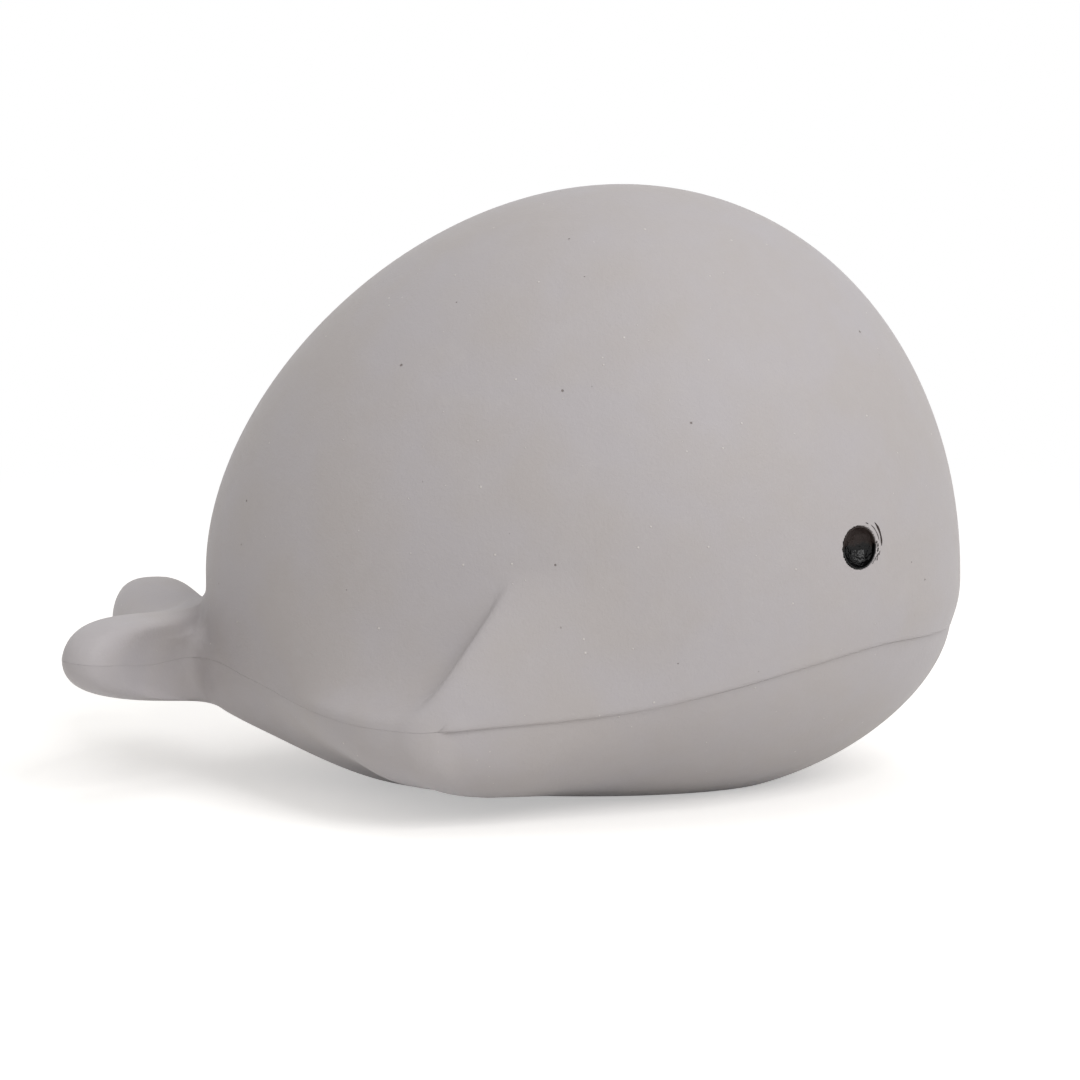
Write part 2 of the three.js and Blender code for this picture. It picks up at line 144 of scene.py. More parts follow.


# natural rubber, cast in a plaster mould: soft matte grey with a powdery bloom, dust specks and tiny pits
# with painted shade in them
def castRubber(name, look):
    material, tree = newMaterial(name)
    place = addNode(tree, "ShaderNodeTexCoord").outputs["Object"]
    clouds = addNode(tree, "ShaderNodeTexNoise", None,
                     {"Vector": place, "Scale": 1 / (look["patch"] * mm), "Detail": 3, "Roughness": 0.55})
    cloudShare = addNode(tree, "ShaderNodeMapRange", None,
                         {"Value": clouds.outputs["Fac"], "From Min": look["cloudEdge"][0],
                          "From Max": look["cloudEdge"][1]})
    ground = addNode(tree, "ShaderNodeMix", {"data_type": "RGBA"},
                     {0: cloudShare.outputs["Result"], 6: linear(look["cool"]), 7: linear(look["warm"])})
    powder = addNode(tree, "ShaderNodeTexNoise", None,
                     {"Vector": place, "Scale": 1 / (look["bloomSize"] * mm), "Detail": 6, "Roughness": 0.7})
    powderShare = addNode(tree, "ShaderNodeMapRange", None,
                          {"Value": powder.outputs["Fac"], "From Min": 0.5, "From Max": 0.8, "To Max": 0.5})
    bloomed = addNode(tree, "ShaderNodeMix", {"data_type": "RGBA"},
                      {0: powderShare.outputs["Result"], 6: ground.outputs[2], 7: linear(look["bloom"])})
    dustShare = specks(tree, place, look["dustCell"], look["dustRadius"], 0)
    dusted = addNode(tree, "ShaderNodeMix", {"data_type": "RGBA"},
                     {0: dustShare, 6: bloomed.outputs[2], 7: linear(look["dust"])})
    # painted shade: the pits are coloured darker as well as sunk by the bump
    pitShare = specks(tree, place, look["pitCell"], look["pitRadius"], look["pitShift"])
    pitShaded = addNode(tree, "ShaderNodeMix", {"data_type": "RGBA"},
                     {0: pitShare, 6: dusted.outputs[2], 7: linear(look["pitShade"])})
    grain = addNode(tree, "ShaderNodeTexNoise", None,
                    {"Vector": place, "Scale": 1 / (look["grain"] * mm), "Detail": 3, "Roughness": 0.6})
    roughness = addNode(tree, "ShaderNodeMapRange", None,
                        {"Value": powder.outputs["Fac"], "From Min": 0.3, "From Max": 0.7,
                         "To Min": look["roughness"] - 0.05, "To Max": look["roughness"] + 0.08})
    sunk = addNode(tree, "ShaderNodeMath", {"operation": "MULTIPLY_ADD"},
                   {0: pitShare, 1: look["pitSink"], 2: grain.outputs["Fac"]})
    raised = addNode(tree, "ShaderNodeMath", {"operation": "MULTIPLY_ADD"},
                     {0: dustShare, 1: look["dustRaise"], 2: sunk.outputs[0]})
    fine = addNode(tree, "ShaderNodeBump", None,
                   {"Height": raised.outputs[0], "Strength": 0.6, "Distance": look["grainDepth"] * mm})
    broad = addNode(tree, "ShaderNodeBump", None,
                    {"Height": clouds.outputs["Fac"], "Strength": 0.5, "Distance": look["waveDepth"] * mm,
                     "Normal": fine.outputs[0]})
    shader = addNode(tree, "ShaderNodeBsdfPrincipled", None,
                     {"Base Color": pitShaded.outputs[2], "Roughness": roughness.outputs["Result"], "IOR": 1.52,
                      "Specular IOR Level": 0.35, "Sheen Weight": 0.12, "Sheen Roughness": 0.5,
                      "Normal": broad.outputs[0]})
    addNode(tree, "ShaderNodeOutputMaterial", None, {"Surface": shader.outputs[0]})
    return material


plugRubberLook = dict(castRubberLook, cool="#ADA8A6", warm="#A8A19E", bloom="#B4B0AE", roughness=0.7)

eyeEnamelLook = {
    "black": "#08080A",
    "paintedFloorReflection": "#2F2624",            # painted reflection of the white floor on the upper half of the dimple, brown
    "reflectionAbove": (34.9, 35.7),    # mm up, above which the painted reflection starts
    "ragged": 2,                  # mm, how far the streaks reach
    "stroke": 0.7,                # mm, streaks that rag the edge of the painted reflection
    "pool": 0.8,                  # mm, puddles of the dried coat
    "poolDepth": 0.4,
    "roughness": (0.16, 0.5),     # pooled lower half, duller upper half
}


# black enamel brushed by hand into the dimple: glossy where it pools; the upper half is duller and carries a
# painted reflection of the white floor in brown
def eyeEnamel(name, look):
    material, tree = newMaterial(name)
    place = addNode(tree, "ShaderNodeTexCoord").outputs["Object"]
    strokes = addNode(tree, "ShaderNodeTexNoise", None,
                      {"Vector": place, "Scale": 1 / (look["stroke"] * mm), "Detail": 4, "Roughness": 0.6})
    height = addNode(tree, "ShaderNodeSeparateXYZ", None, {0: place})
    ragged = addNode(tree, "ShaderNodeMath", {"operation": "MULTIPLY_ADD"},
                     {0: strokes.outputs["Fac"], 1: look["ragged"] * mm, 2: height.outputs["Z"]})
    # painted reflection: above a ragged height the enamel is coloured brown, standing in for the mirrored
    # floor, and made duller
    reflectionFrom, reflectionTo = ((edge + look["ragged"] / 2) * mm for edge in look["reflectionAbove"])
    reflectionAndDullShare = addNode(tree, "ShaderNodeMapRange", {"interpolation_type": "SMOOTHSTEP"},
                        {"Value": ragged.outputs[0], "From Min": reflectionFrom, "From Max": reflectionTo})
    colour = addNode(tree, "ShaderNodeMix", {"data_type": "RGBA"},
                     {0: reflectionAndDullShare.outputs["Result"], 6: linear(look["black"]), 7: linear(look["paintedFloorReflection"])})
    roughness = addNode(tree, "ShaderNodeMapRange", None,
                        {"Value": reflectionAndDullShare.outputs["Result"], "To Min": look["roughness"][0],
                         "To Max": look["roughness"][1]})
    pools = addNode(tree, "ShaderNodeTexNoise", None,
                    {"Vector": place, "Scale": 1 / (look["pool"] * mm), "Detail": 2})
    bump = addNode(tree, "ShaderNodeBump", None,
                   {"Height": pools.outputs["Fac"], "Strength": 0.8, "Distance": look["poolDepth"] * mm})
    shader = addNode(tree, "ShaderNodeBsdfPrincipled", None,
                     {"Base Color": colour.outputs[2], "Roughness": roughness.outputs["Result"], "IOR": 1.5,
                      "Specular IOR Level": 0.24, "Normal": bump.outputs[0]})
    addNode(tree, "ShaderNodeOutputMaterial", None, {"Surface": shader.outputs[0]})
    return material


capsuleLook = {
    "ivory": "#EAE7DF",
    "shade": "#E0DCD2",
    "flow": 9,            # mm, flow marks from the gate
    "spark": 0.25,        # mm, spark-eroded mould texture
    "sparkDepth": 0.03,
    "roughness": 0.42,
}


# ABS, injection moulded in a spark-eroded tool: ivory, satin, with faint flow marks
def mouldedAbs(name, look):
    material, tree = newMaterial(name)
    place = addNode(tree, "ShaderNodeTexCoord").outputs["Object"]
    flow = addNode(tree, "ShaderNodeTexNoise", None,
                   {"Vector": place, "Scale": 1 / (look["flow"] * mm), "Detail": 2, "Distortion": 0.6})
    colour = addNode(tree, "ShaderNodeMix", {"data_type": "RGBA"},
                     {0: flow.outputs["Fac"], 6: linear(look["ivory"]), 7: linear(look["shade"])})
    spark = addNode(tree, "ShaderNodeTexNoise", None,
                    {"Vector": place, "Scale": 1 / (look["spark"] * mm), "Detail": 2})
    roughness = addNode(tree, "ShaderNodeMapRange", None,
                        {"Value": spark.outputs["Fac"], "To Min": look["roughness"] - 0.06,
                         "To Max": look["roughness"] + 0.06})
    bump = addNode(tree, "ShaderNodeBump", None,
                   {"Height": spark.outputs["Fac"], "Strength": 0.25, "Distance": look["sparkDepth"] * mm})
    shader = addNode(tree, "ShaderNodeBsdfPrincipled", None,
                     {"Base Color": colour.outputs[2], "Roughness": roughness.outputs["Result"], "IOR": 1.54,
                      "Normal": bump.outputs[0]})
    addNode(tree, "ShaderNodeOutputMaterial", None, {"Surface": shader.outputs[0]})
    return material


pelletLook = {
    "bright": "#BBBEC2",
    "dull": "#9DA0A4",
    "scuff": 0.6,         # mm, tumbling scuffs
    "roughness": 0.2,
}


# carbon steel, ground and tumbled: bright grey metal with soft scuffs
def tumbledSteel(name, look):
    material, tree = newMaterial(name)
    place = addNode(tree, "ShaderNodeTexCoord").outputs["Object"]
    scuffs = addNode(tree, "ShaderNodeTexNoise", None,
                     {"Vector": place, "Scale": 1 / (look["scuff"] * mm), "Detail": 4, "Roughness": 0.65})
    colour = addNode(tree, "ShaderNodeMix", {"data_type": "RGBA"},
                     {0: scuffs.outputs["Fac"], 6: linear(look["bright"]), 7: linear(look["dull"])})
    roughness = addNode(tree, "ShaderNodeMapRange", None,
                        {"Value": scuffs.outputs["Fac"], "To Min": look["roughness"] - 0.08,
                         "To Max": look["roughness"] + 0.15})
    shader = addNode(tree, "ShaderNodeBsdfPrincipled", None,
                     {"Base Color": colour.outputs[2], "Metallic": 1.0,
                      "Roughness": roughness.outputs["Result"]})
    addNode(tree, "ShaderNodeOutputMaterial", None, {"Surface": shader.outputs[0]})
    return material


rubber = castRubber("naturalRubberCast", castRubberLook)
plugRubber = castRubber("naturalRubberMoulded", plugRubberLook)
enamel = eyeEnamel("enamelBrushed", eyeEnamelLook)
capsuleAbs = mouldedAbs("absMoulded", capsuleLook)
pelletSteel = tumbledSteel("steelTumbled", pelletLook)
print("materials made")


# the whale's body, mm, measured from the upright axis through the crown of the back
hull = {
    "height": 79.4,
    "crownForward": 1.5,
    "noseReach": 46.7,
    "rearReach": 54.1,
    "halfWidth": 38,
    "waist": 27.5,
    "waistRise": 6.5,
    "crownFullness": (0.51, 0.6),     # rear, front
    "waistFullness": (0.46, 0.55),
    "wall": 3.2,
    "lapHeight": 2.5,
    "seamGap": 0.02,                  # the bonded seam is drawn as a hairline
    "lipInset": 1.2,
    "jawStep": 0.55,                  # the lower jaw stands back under the upper lip
    "lipRound": (0, 0.75),            # bonded seam, mouth
    "undercut": (0.03, 0.13),         # slope of the belly under the parting line: rear, mouth
    "innerUndercut": 0.08,
    "weld": 0.002,                    # points closer than this are one
    "baseHalf": (27, 14.5),
    "baseCentre": -5,
}

# heights of the parting line, mm
parting = {"mouth": 21.2, "cheek": 21.7, "flank": 15, "flipper": 13.7, "fluke": 17.2}

# pairs are shares on the bare flank and on the flipper
flipper = {
    "reach": 8.5,
    "sweep": math.radians(20),
    "ridgeLean": (-0.2, 0.5),         # stops by which the ridge runs forward, from the waist to the edge
    "edgeRound": 1.5,
    "brimShare": 0.85,                # of the way down, where the rounded brim starts
    "brimStart": 0.92,
    "hugDrop": (0.5, 0.75),           # the valley hugs the body on its way down
    "hugReach": (0.6, 0.2),
    "hugSink": (0.75, 0.92),
    "tentDrop": 0.18,                 # the ridge runs out like a tent
    "tentReach": 0.84,
    "tentSink": 0.6,
    "bellyDrop": (0.36, 0.2),         # the underside leaves the edge and comes back to the base
    "bellySink": (0.78, 0.5),
    "bellyReach": (0.4, 0.36),
    "hangSink": 0.75,
}

# the mouth line ends at the flipper in a small curled corner
mouth = {
    "end": 7.74,          # stops along the outline
    "endFade": 0.12,
    "snoutShare": 0.1,    # the line is shallow at the tip of the snout
    "snoutFade": 1.2,
    "curlStart": 6.9,
    "curl": 0.45,
    "curlHeight": 1.4,
    "webEnd": (0.985, 0.8, 0.94),     # share of the flank above the lip: bare, mouth, mouth on the flipper
}

# flukes and stern, mm behind the hull or above the floor, and shares of the sections
tail = {
    "rootInset": 2.8,
    "rootHalf": 12.5,
    "neck": 1.4,
    "neckHalf": 9.8,
    "tip": 12.6,
    "length": 16.7,
    "notch": 10.9,
    "halfSpan": 27,
    "swell": 26.3,
    "tipLift": 1.8,       # the edge rises towards the blunt tips of the flukes
    "top": 23.1,
    "fillet": 3,
    "wallShare": 0.35,    # of a section that climbs the back wall
    "topReach": 0.3,
    "topDrop": 0.3,
    "swellReach": 0.94,
    "sternHeight": 10.2,
    "sternInset": 1.4,
    "sternShare": 0.6,    # of a section down to the stern
    "underDrop": 0.57,
    "underReach": 0.45,
    "underSink": 0.72,
    "notchClear": 1.5,
}

toyShift = Vector(((hull["rearReach"] + tail["length"] - hull["noseReach"]) / 2, 0, 0))


def mix(a, b, share):
    return a + (b - a) * share


def clamp(share):
    return min(max(share, 0), 1)


def atHeight(point, z):
    return Vector((point.x, point.y, z))


def curvePoint(a, b, c, d, t):
    s = 1 - t
    return a * (s * s * s) + b * (3 * s * s * t) + c * (3 * s * t * t) + d * (t * t * t)


def hullPlan(turn, inset=0):
    reach = hull["noseReach"] if math.cos(turn) > 0 else hull["rearReach"]
    return Vector(((reach - inset) * math.cos(turn), (hull["halfWidth"] - inset) * math.sin(turn), 0))


def basePlan(turn, inset=0):
    halfLength, halfWidth = hull["baseHalf"]
    forward = (halfLength - inset) * math.cos(turn)
    return Vector((hull["baseCentre"] + forward, (halfWidth - inset) * math.sin(turn), 0))


# one stop on the half outline of the parting line; the edge may lie at another turn than the dome above it
def hullStop(turn, edgeTurn, z, **shares):
    edge = hullPlan(math.radians(edgeTurn), hull["lipInset"])
    stop = dict.fromkeys(("fin", "hang", "tent", "tail", "crown", "lobe"), 0)
    stop.update(shares)
    stop["turn"] = math.radians(turn)
    stop["x"] = edge.x - stop["fin"] * flipper["reach"] * math.sin(flipper["sweep"])
    stop["y"] = edge.y + stop["fin"] * flipper["reach"] * math.cos(flipper["sweep"])
    stop["z"] = z
    return stop


def tailStop(turn, reach, y, crown, lobe, share=1):
    z = parting["fluke"] + tail["tipLift"] * max(2 * lobe - 1, 0)
    return {"turn": math.radians(turn), "x": -hull["rearReach"] - reach, "y": y, "z": z,
            "fin": 0, "hang": 0, "tent": 0, "tail": share, "crown": crown, "lobe": lobe}


def height(start, end, share):
    return mix(parting[start], parting[end], share)


def lead(share):
    return mix(tail["neck"], tail["tip"], share)


def flare(share):
    return mix(tail["neckHalf"], tail["halfSpan"], share)


def notchEdge(share):
    return mix(tail["notch"], tail["length"], share)


# the half outline from the snout to the notch of the tail
stops = [
    hullStop(0, 0, height("mouth", "cheek", 0)),
    hullStop(20, 20, height("mouth", "cheek", 0.7)),
    hullStop(38, 38, height("mouth", "cheek", 1)),
    hullStop(54, 54, height("cheek", "flank", 0.25)),
    hullStop(68, 68, height("cheek", "flank", 0.58)),
    hullStop(79, 80, height("cheek", "flank", 0.86), fin=0.05, hang=0.1, tent=0.4),
    hullStop(87, 91, height("flank", "flipper", 0.1), fin=0.25, hang=0.6, tent=1),
    hullStop(94, 101, height("flank", "flipper", 0.6), fin=0.65, hang=1, tent=1),
    hullStop(100, 110, height("flank", "flipper", 1), fin=1, hang=0.95, tent=1),
    hullStop(104, 115, height("flipper", "fluke", 0), fin=1, hang=0.8, tent=0.46),
    hullStop(112, 121, height("flipper", "fluke", 0.03), fin=0.9, hang=0.72, tent=0.13),
    hullStop(122, 128, height("flipper", "fluke", 0.12), fin=0.65, hang=0.3, tent=0.02),
    hullStop(133, 136, height("flipper", "fluke", 0.25), fin=0.3),
    hullStop(145, 145, height("flipper", "fluke", 0.45)),
    hullStop(153, 153, height("flipper", "fluke", 0.68), tail=0.2, crown=0.05),
    tailStop(160, -tail["rootInset"], tail["rootHalf"], 0.1, 0.05, 0.7),
    tailStop(165.5, lead(0), tail["neckHalf"], 0.4, 0.2),
    tailStop(170, lead(0.35), flare(0.34), 0.65, 0.5),
    tailStop(173.5, lead(0.6), flare(0.8), 0.82, 0.85),
    tailStop(175.5, lead(0.92), flare(0.98), 0.92, 1),
    tailStop(177, mix(tail["tip"], tail["length"], 0.7), tail["halfSpan"] * 0.9, 1, 1.05),
    tailStop(178.3, notchEdge(0.84), tail["halfSpan"] * 0.6, 1, 0.9),
    tailStop(179.3, notchEdge(0.4), tail["halfSpan"] * 0.23, 1, 0.6),
    tailStop(180, notchEdge(0), 0, 1, 0.55),
]
lastStop = len(stops) - 1


# a value of the outline between the stops, smooth across the middle plane at both ends
def along(name, place):
    odd = name in ("y", "turn")
    start = min(int(place), lastStop - 1)
    t = place - start
    near = []
    for i in range(start - 1, start + 3):
        if i < 0:
            near.append(-stops[-i][name] if odd else stops[-i][name])
        elif i <= lastStop:
            near.append(stops[i][name])
        else:
            mirrored = stops[2 * lastStop - i][name]
            near.append(2 * stops[lastStop][name] - mirrored if odd else mirrored)
    a, b, c, d = near
    return b + 0.5 * t * (c - a + t * (2 * a - 5 * b + 4 * c - d + t * (3 * (b - c) + d - a)))


def outlineAt(place):
    outline = {name: clamp(along(name, place)) for name in ("fin", "hang", "tail", "crown", "lobe")}
    outline["place"] = place
    shallow = mix(mouth["snoutShare"], 1, min(place / mouth["snoutFade"], 1))
    outline["mouth"] = shallow * clamp((mouth["end"] - place) / mouth["endFade"])
    outline["turn"] = along("turn", place)
    outline["edge"] = Vector((along("x", place), along("y", place), along("z", place)))
    return outline


def waistAt(turn):
    return hull["waist"] + hull["waistRise"] * math.sin(turn) ** 2


# points down the dome from the crown to the waist at the given steps
def domePoints(turn, inset, steps):
    front = 0.5 + 0.5 * math.cos(turn)
    crown = Vector((hull["crownForward"], 0, hull["height"] - inset))
    waist = atHeight(hullPlan(turn, inset), waistAt(turn))
    overCrown = atHeight(mix(crown, waist, mix(*hull["crownFullness"], front)), crown.z)
    overWaist = atHeight(waist, mix(waist.z, crown.z, mix(*hull["waistFullness"], front)))
    return [curvePoint(crown, overCrown, overWaist, waist, t) for t in steps]


# points from the waist down to the parting edge: flank, flipper or top of the tail
def webPoints(outline, edge, steps):
    fin = outline["fin"]
    waist = atHeight(hullPlan(outline["turn"]), waistAt(outline["turn"]))
    brim = edge + Vector((0, 0, flipper["edgeRound"] * fin))
    rise = brim.z - waist.z
    hugReach = mix(*flipper["hugReach"], fin)
    hugging = (waist, atHeight(waist, waist.z + rise * mix(*flipper["hugDrop"], fin)),
               atHeight(mix(waist, edge, hugReach), waist.z + rise * mix(*flipper["hugSink"], fin)), brim)
    tented = (waist, atHeight(waist, waist.z + rise * flipper["tentDrop"]),
              atHeight(mix(waist, edge, flipper["tentReach"]), waist.z + rise * flipper["tentSink"]), brim)
    reach = max((edge.xy - waist.xy).length, 2 * tail["fillet"])
    footHeight = mix(edge.z, tail["top"], outline["crown"])
    foot = atHeight(mix(waist, edge, tail["fillet"] / reach), footHeight)
    backWall = (waist, atHeight(waist, mix(waist.z, footHeight, 0.5)), atHeight(waist, footHeight), foot)
    swellHeight = mix(edge.z, tail["swell"], outline["lobe"])
    flukeTop = (foot, atHeight(mix(foot, edge, tail["topReach"]), mix(footHeight, edge.z, tail["topDrop"])),
                atHeight(mix(foot, edge, tail["swellReach"]), swellHeight), edge)
    wallShare = tail["wallShare"]
    brimShare = flipper["brimShare"]
    points = []
    for t in steps:
        ridgePlace = min(outline["place"] + mix(*flipper["ridgeLean"], t), lastStop)
        tent = clamp(along("tent", max(ridgePlace, 0)))
        down = min(t / brimShare, 1) * flipper["brimStart"]
        flankPoint = mix(curvePoint(*hugging, down), curvePoint(*tented, down), tent)
        if t > brimShare:
            turned = (t - brimShare) / (1 - brimShare)
            flankPoint = mix(mix(flankPoint, brim, turned), mix(brim, edge, turned), turned)
        if t < wallShare:
            tailPoint = curvePoint(*backWall, t / wallShare)
        else:
            tailPoint = curvePoint(*flukeTop, (t - wallShare) / (1 - wallShare))
        points.append(mix(flankPoint, tailPoint, outline["tail"]))
    return points


# points down the hull from a top edge past the stern to a bottom edge
def bellyPoints(top, sternPoint, bottom, undercut, fin, hang, tailShare, steps):
    fall = bottom.z - top.z
    drop = fall * mix(mix(*flipper["bellyDrop"], fin), flipper["hangSink"], hang)
    sink = fall * mix(mix(*flipper["bellySink"], fin), flipper["hangSink"], hang)
    belly = (top, atHeight(mix(top, bottom, mix(undercut, 0, fin)), top.z + drop),
             atHeight(mix(top, bottom, mix(*flipper["bellyReach"], fin)), top.z + sink), bottom)
    underHeight = mix(top.z, sternPoint.z, tail["underSink"])
    underTail = (top, atHeight(top, mix(parting["fluke"], sternPoint.z, tail["underDrop"])),
                 atHeight(mix(top, sternPoint, tail["underReach"]), underHeight), sternPoint)
    sternShare = tail["sternShare"]
    points = []
    for t in steps:
        if t < sternShare:
            tailPoint = curvePoint(*underTail, t / sternShare)
        else:
            tailPoint = mix(sternPoint, bottom, (t - sternShare) / (1 - sternShare))
        points.append(mix(curvePoint(*belly, t), tailPoint, tailShare))
    return points


def evenSteps(start, end, count):
    return [mix(start, end, (i + 1) / count) for i in range(count)]


# a corner of a section drawn as a small round between its neighbours
def rounded(before, corner, after, radius):
    start = corner + (before - corner).normalized() * min(radius, (before - corner).length * 0.9)
    end = corner + (after - corner).normalized() * min(radius, (after - corner).length * 0.9)
    return [mix(mix(start, corner, t), mix(corner, end, t), t) for t in (0, 0.25, 0.5, 0.75, 1)]


# mesh fineness: closer cuts and rows where the eye dimple lies
fineness = {
    "cutsPerStop": 8,
    "eyePlaces": (2.08, 2.76, 40),
    "eyeRows": (0.893, 0.989, 44),
    "crownRows": 50,
    "webRows": 52,
    "bellyRows": 44,
    "innerRows": 12,
}


def outlinePlaces():
    first, last, count = fineness["eyePlaces"]
    cuts = fineness["cutsPerStop"]
    return ([0] + evenSteps(0, first, round(first * cuts)) + evenSteps(first, last, count)
            + evenSteps(last, lastStop, round((lastStop - last) * cuts)))


def domeSteps():
    first, last, count = fineness["eyeRows"]
    return evenSteps(0, first, fineness["crownRows"]) + evenSteps(first, last, count) + evenSteps(last, 1, 4)


# middle of the joint face between an edge and the lap; in the tail it lies straight behind the lap
def jointMiddle(outline, edge, lapEdge):
    halfWay = mix(edge, lapEdge, 0.5)
    notchX = tail["notchClear"] - hull["rearReach"] - tail["notch"]
    behindLap = Vector((max(edge.x, notchX), lapEdge.y, 0))
    return atHeight(mix(halfWay, behindLap, outline["tail"]), edge.z)


# down the outside of the upper shell, across the lap and up the inside
def upperSection(place):
    outline = outlineAt(place)
    turn = outline["turn"]
    half = hull["seamGap"] / 2
    curled = clamp((place - mouth["curlStart"]) / (mouth["end"] - mouth["curlStart"])) ** 2
    curl = hullPlan(turn).normalized() * mouth["curl"] * curled * outline["mouth"]
    flatEdge = outline["edge"] + Vector((0, 0, half))
    edge = flatEdge + curl
    lapEdge = hullPlan(turn, hull["lipInset"] + hull["wall"] / 2 - half)
    innerEdge = hullPlan(turn, hull["lipInset"] + hull["wall"])
    lapTop = edge.z + hull["lapHeight"]
    bareEnd, mouthEnd, finEnd = mouth["webEnd"]
    webEnd = mix(bareEnd, mix(mouthEnd, finEnd, outline["fin"]), outline["mouth"])
    web = webPoints(outline, flatEdge, evenSteps(0, webEnd, fineness["webRows"]))
    web = [point + curl * math.exp(-((point.z - edge.z) / mouth["curlHeight"]) ** 2) for point in web]
    lip = rounded(web[-1], edge, atHeight(lapEdge, edge.z), mix(*hull["lipRound"], outline["mouth"]))
    crown = Vector((hull["crownForward"], 0, hull["height"]))
    inside = domePoints(turn, hull["wall"], evenSteps(0, 1, fineness["innerRows"]))
    return [crown, *domePoints(turn, 0, domeSteps()), *web, *lip,
            jointMiddle(outline, edge, lapEdge), atHeight(lapEdge, edge.z), atHeight(lapEdge, lapTop),
            atHeight(innerEdge, lapTop), *reversed(inside), crown - Vector((0, 0, hull["wall"]))]


# plug that closes the vent in the base, mm
plug = {
    "headRadius": 8,
    "headThickness": 1.4,
    "shoulder": 2.5,
    "recess": 0.4,
    "clearance": 0.15,
    "edgeRound": (0.35, 0.35, 0.15, 0.35),     # head, shoulder, root of the stem, top
    "ventRound": 0.3,
    "sides": 72,
    # radius and depth of the finger dish and of the raised ring on the face that shows
    "face": [(0, 0.45), (2.2, 0.45), (3.2, 0.3), (3.8, 0.04), (4.2, 0),
             (5.6, 0), (5.75, 0.12), (6.05, 0.12), (6.2, 0)],
}


def boreCircle(turn, radius, z):
    return Vector((hull["baseCentre"] + radius * math.cos(turn), radius * math.sin(turn), z))


# round the lower shell's wall: base, belly, lip, lap, cavity floor and the stepped vent
def lowerSection(place):
    outline = outlineAt(place)
    turn = outline["turn"]
    half = hull["seamGap"] / 2
    wall = hull["wall"]
    lip = outline["edge"] - Vector((0, 0, half))
    lip -= hullPlan(turn).normalized() * hull["jawStep"] * outline["mouth"]
    lapEdge = atHeight(hullPlan(turn, hull["lipInset"] + wall / 2 + half), lip.z)
    innerEdge = atHeight(hullPlan(turn, hull["lipInset"] + wall), lip.z + hull["lapHeight"])
    bottom = basePlan(turn)
    sternEdge = atHeight(hullPlan(turn, tail["sternInset"]), tail["sternHeight"])
    undercut = mix(*hull["undercut"], outline["mouth"])
    outside = bellyPoints(lip, sternEdge, bottom, undercut, outline["fin"], outline["hang"], outline["tail"],
                          evenSteps(0, 1, fineness["bellyRows"]))
    sternInside = atHeight(hullPlan(turn, tail["sternInset"] + wall), tail["sternHeight"] + wall)
    floorEdge = atHeight(basePlan(turn, wall / 3), wall)
    inside = bellyPoints(innerEdge, sternInside, floorEdge, hull["innerUndercut"], 0, 0,
                         outline["tail"], evenSteps(0, 1, fineness["innerRows"]))
    headBore = plug["headRadius"] + plug["clearance"]
    stemBore = headBore - plug["shoulder"]
    shelf = plug["recess"] + plug["headThickness"] + plug["clearance"]
    ventCorner = boreCircle(turn, headBore, 0)
    base = [mix(ventCorner, bottom, share) for share in (0.15, 0.5, 0.8)]
    ventEdge = rounded(boreCircle(turn, headBore, shelf), ventCorner, base[0], plug["ventRound"])
    return [boreCircle(turn, headBore, shelf), *ventEdge, *base, *reversed(outside),
            lip, jointMiddle(outline, lip, lapEdge), lapEdge,
            atHeight(lapEdge, innerEdge.z), innerEdge, *inside, boreCircle(turn, stemBore, wall),
            boreCircle(turn, stemBore, shelf), boreCircle(turn, headBore, shelf)]


# a grid of cuts along the outline by rows down the section, drawn on to the body and mirrored
def shellMesh(sectionAt):
    sections = [sectionAt(place) for place in outlinePlaces()]
    cuts = len(sections) - 1
    rows = len(sections[0]) - 1
    bm = bmesh.new()
    bmesh.ops.create_grid(bm, x_segments=cuts, y_segments=rows, size=1)
    for vert in bm.verts:
        cut = round((vert.co.x + 1) / 2 * cuts)
        row = round((vert.co.y + 1) / 2 * rows)
        vert.co = (sections[cut][row] + toyShift) * mm
        if cut in (0, cuts):
            vert.co.y = 0
    bmesh.ops.mirror(bm, geom=bm.verts[:] + bm.edges[:] + bm.faces[:], axis="Y", merge_dist=0)
    bmesh.ops.remove_doubles(bm, verts=bm.verts[:], dist=hull["weld"] * mm)
    bmesh.ops.dissolve_degenerate(bm, edges=bm.edges[:], dist=hull["weld"] / 4 * mm)
    bmesh.ops.recalc_face_normals(bm, faces=bm.faces[:])
    return bm


def addPiece(name, bm, material, body, node, sharp=35):
    mesh = bpy.data.meshes.new(name)
    bm.to_mesh(mesh)
    bm.free()
    mesh.shade_smooth()
    mesh.set_sharp_from_angle(angle=math.radians(sharp))
    mesh.materials.append(material)
    piece = bpy.data.objects.new(name, mesh)
    scene.collection.objects.link(piece)
    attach(piece, body)
    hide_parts(node)
    return piece


# eye dimples, mm
eye = {
    "turn": math.radians(44.5),
    "height": 35.1,
    "radius": 2.78,
    "depth": 2.1,
    "rimRound": 0.22,
}


# where an eye sits on the dome: +Z out of the rubber, +X towards the snout, +Y down
def eyeFrame(side):
    low, high = 1, 0
    for halving in range(24):
        middle = (low + high) / 2
        if domePoints(eye["turn"], 0, [middle])[0].z < eye["height"]:
            low = middle
        else:
            high = middle
    place, above = domePoints(eye["turn"], 0, [low, low - 0.01])
    ahead = (domePoints(eye["turn"] - 0.01, 0, [low])[0] - place).normalized()
    outward = (above - place).cross(ahead).normalized()
    downward = outward.cross(ahead).normalized()
    mirror = Vector((1, side, 1))
    axes = [axis * mirror for axis in (ahead, downward, outward)]
    turned = Matrix(axes).transposed().to_4x4()
    return Matrix.Translation((place * mirror + toyShift) * mm) @ turned


def softMin(a, b, blend):
    share = clamp(0.5 + 0.5 * (b - a) / blend)
    return mix(b, a, share) - blend * share * (1 - share)


